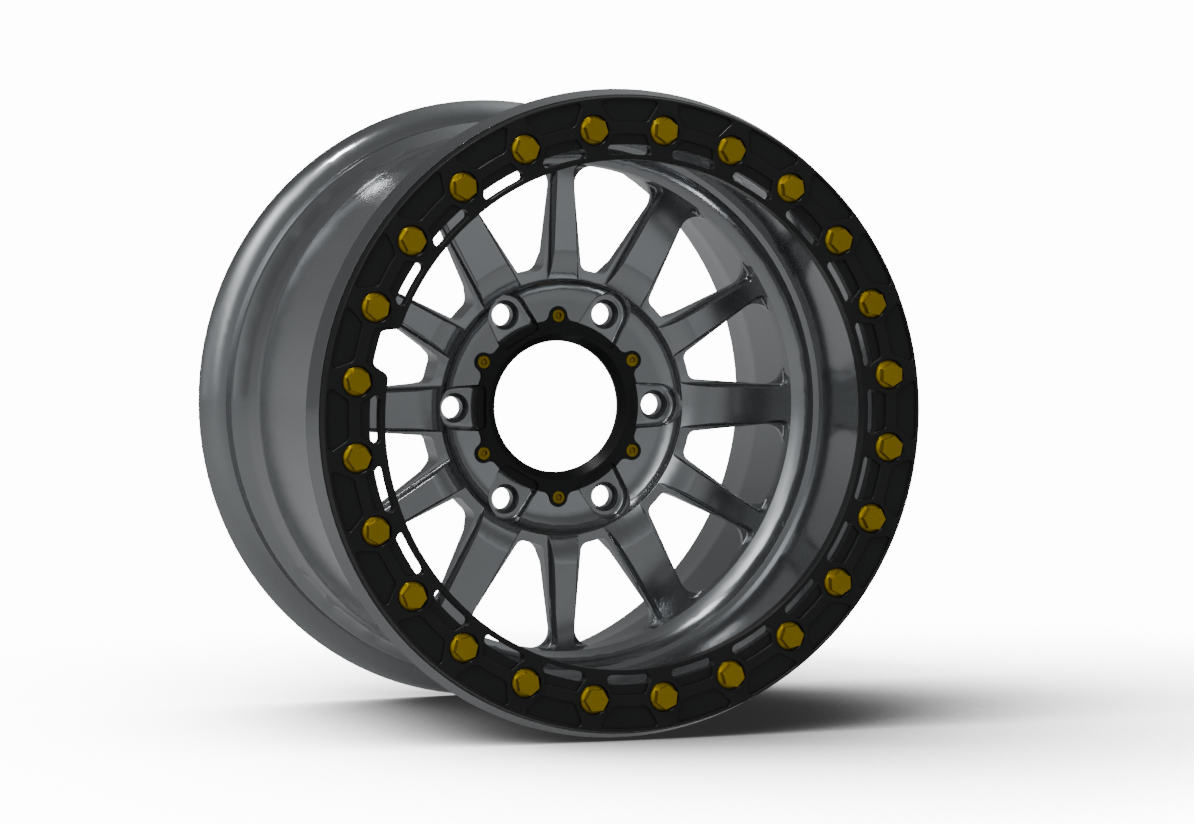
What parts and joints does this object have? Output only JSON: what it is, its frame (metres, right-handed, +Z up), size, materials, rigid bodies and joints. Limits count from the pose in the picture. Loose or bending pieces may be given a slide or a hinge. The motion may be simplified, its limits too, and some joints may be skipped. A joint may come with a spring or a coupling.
{
  "type": "beadlock wheel",
  "caption": "Spoked wheel body with a bolted clamping ring on its outboard lip, a tapered-seat lug circle and a trim ring round the centre bore.",
  "frame": {"origin": "centre of the face that bolts to the vehicle's hub, on the wheel's axis", "axes": "+Y along the axis, inboard, out of the face that bolts to the hub; the outboard side with the clamping ring faces -Y; +Z up and +X to the right as seen from outboard"},
  "size_m": [0.4112, 0.2873, 0.4111],
  "materials": {
    "wheel_metal": "gunmetal grey satin anodised, slightly darker in the machined pockets",
    "black_anodised": "black satin anodised",
    "gold_bolt": "dark yellow zinc plated"
  },
  "bodies": {
    "root": {"wheel": "wheel_metal", "beadlock_ring": "black_anodised", "centre_ring": "black_anodised", "ring_bolt_01": "gold_bolt", "ring_bolt_02": "gold_bolt", "ring_bolt_03": "gold_bolt", "ring_bolt_04": "gold_bolt", "ring_bolt_05": "gold_bolt", "ring_bolt_06": "gold_bolt", "ring_bolt_07": "gold_bolt", "ring_bolt_08": "gold_bolt", "ring_bolt_09": "gold_bolt", "ring_bolt_10": "gold_bolt", "ring_bolt_11": "gold_bolt", "ring_bolt_12": "gold_bolt", "ring_bolt_13": "gold_bolt", "ring_bolt_14": "gold_bolt", "ring_bolt_15": "gold_bolt", "ring_bolt_16": "gold_bolt", "ring_bolt_17": "gold_bolt", "ring_bolt_18": "gold_bolt", "ring_bolt_19": "gold_bolt", "ring_bolt_20": "gold_bolt", "ring_bolt_21": "gold_bolt", "ring_bolt_22": "gold_bolt", "ring_bolt_23": "gold_bolt", "ring_bolt_24": "gold_bolt", "centre_screw_1": "gold_bolt", "centre_screw_2": "gold_bolt", "centre_screw_3": "gold_bolt", "centre_screw_4": "gold_bolt", "centre_screw_5": "gold_bolt", "centre_screw_6": "gold_bolt"}
  },
  "joints": []
}
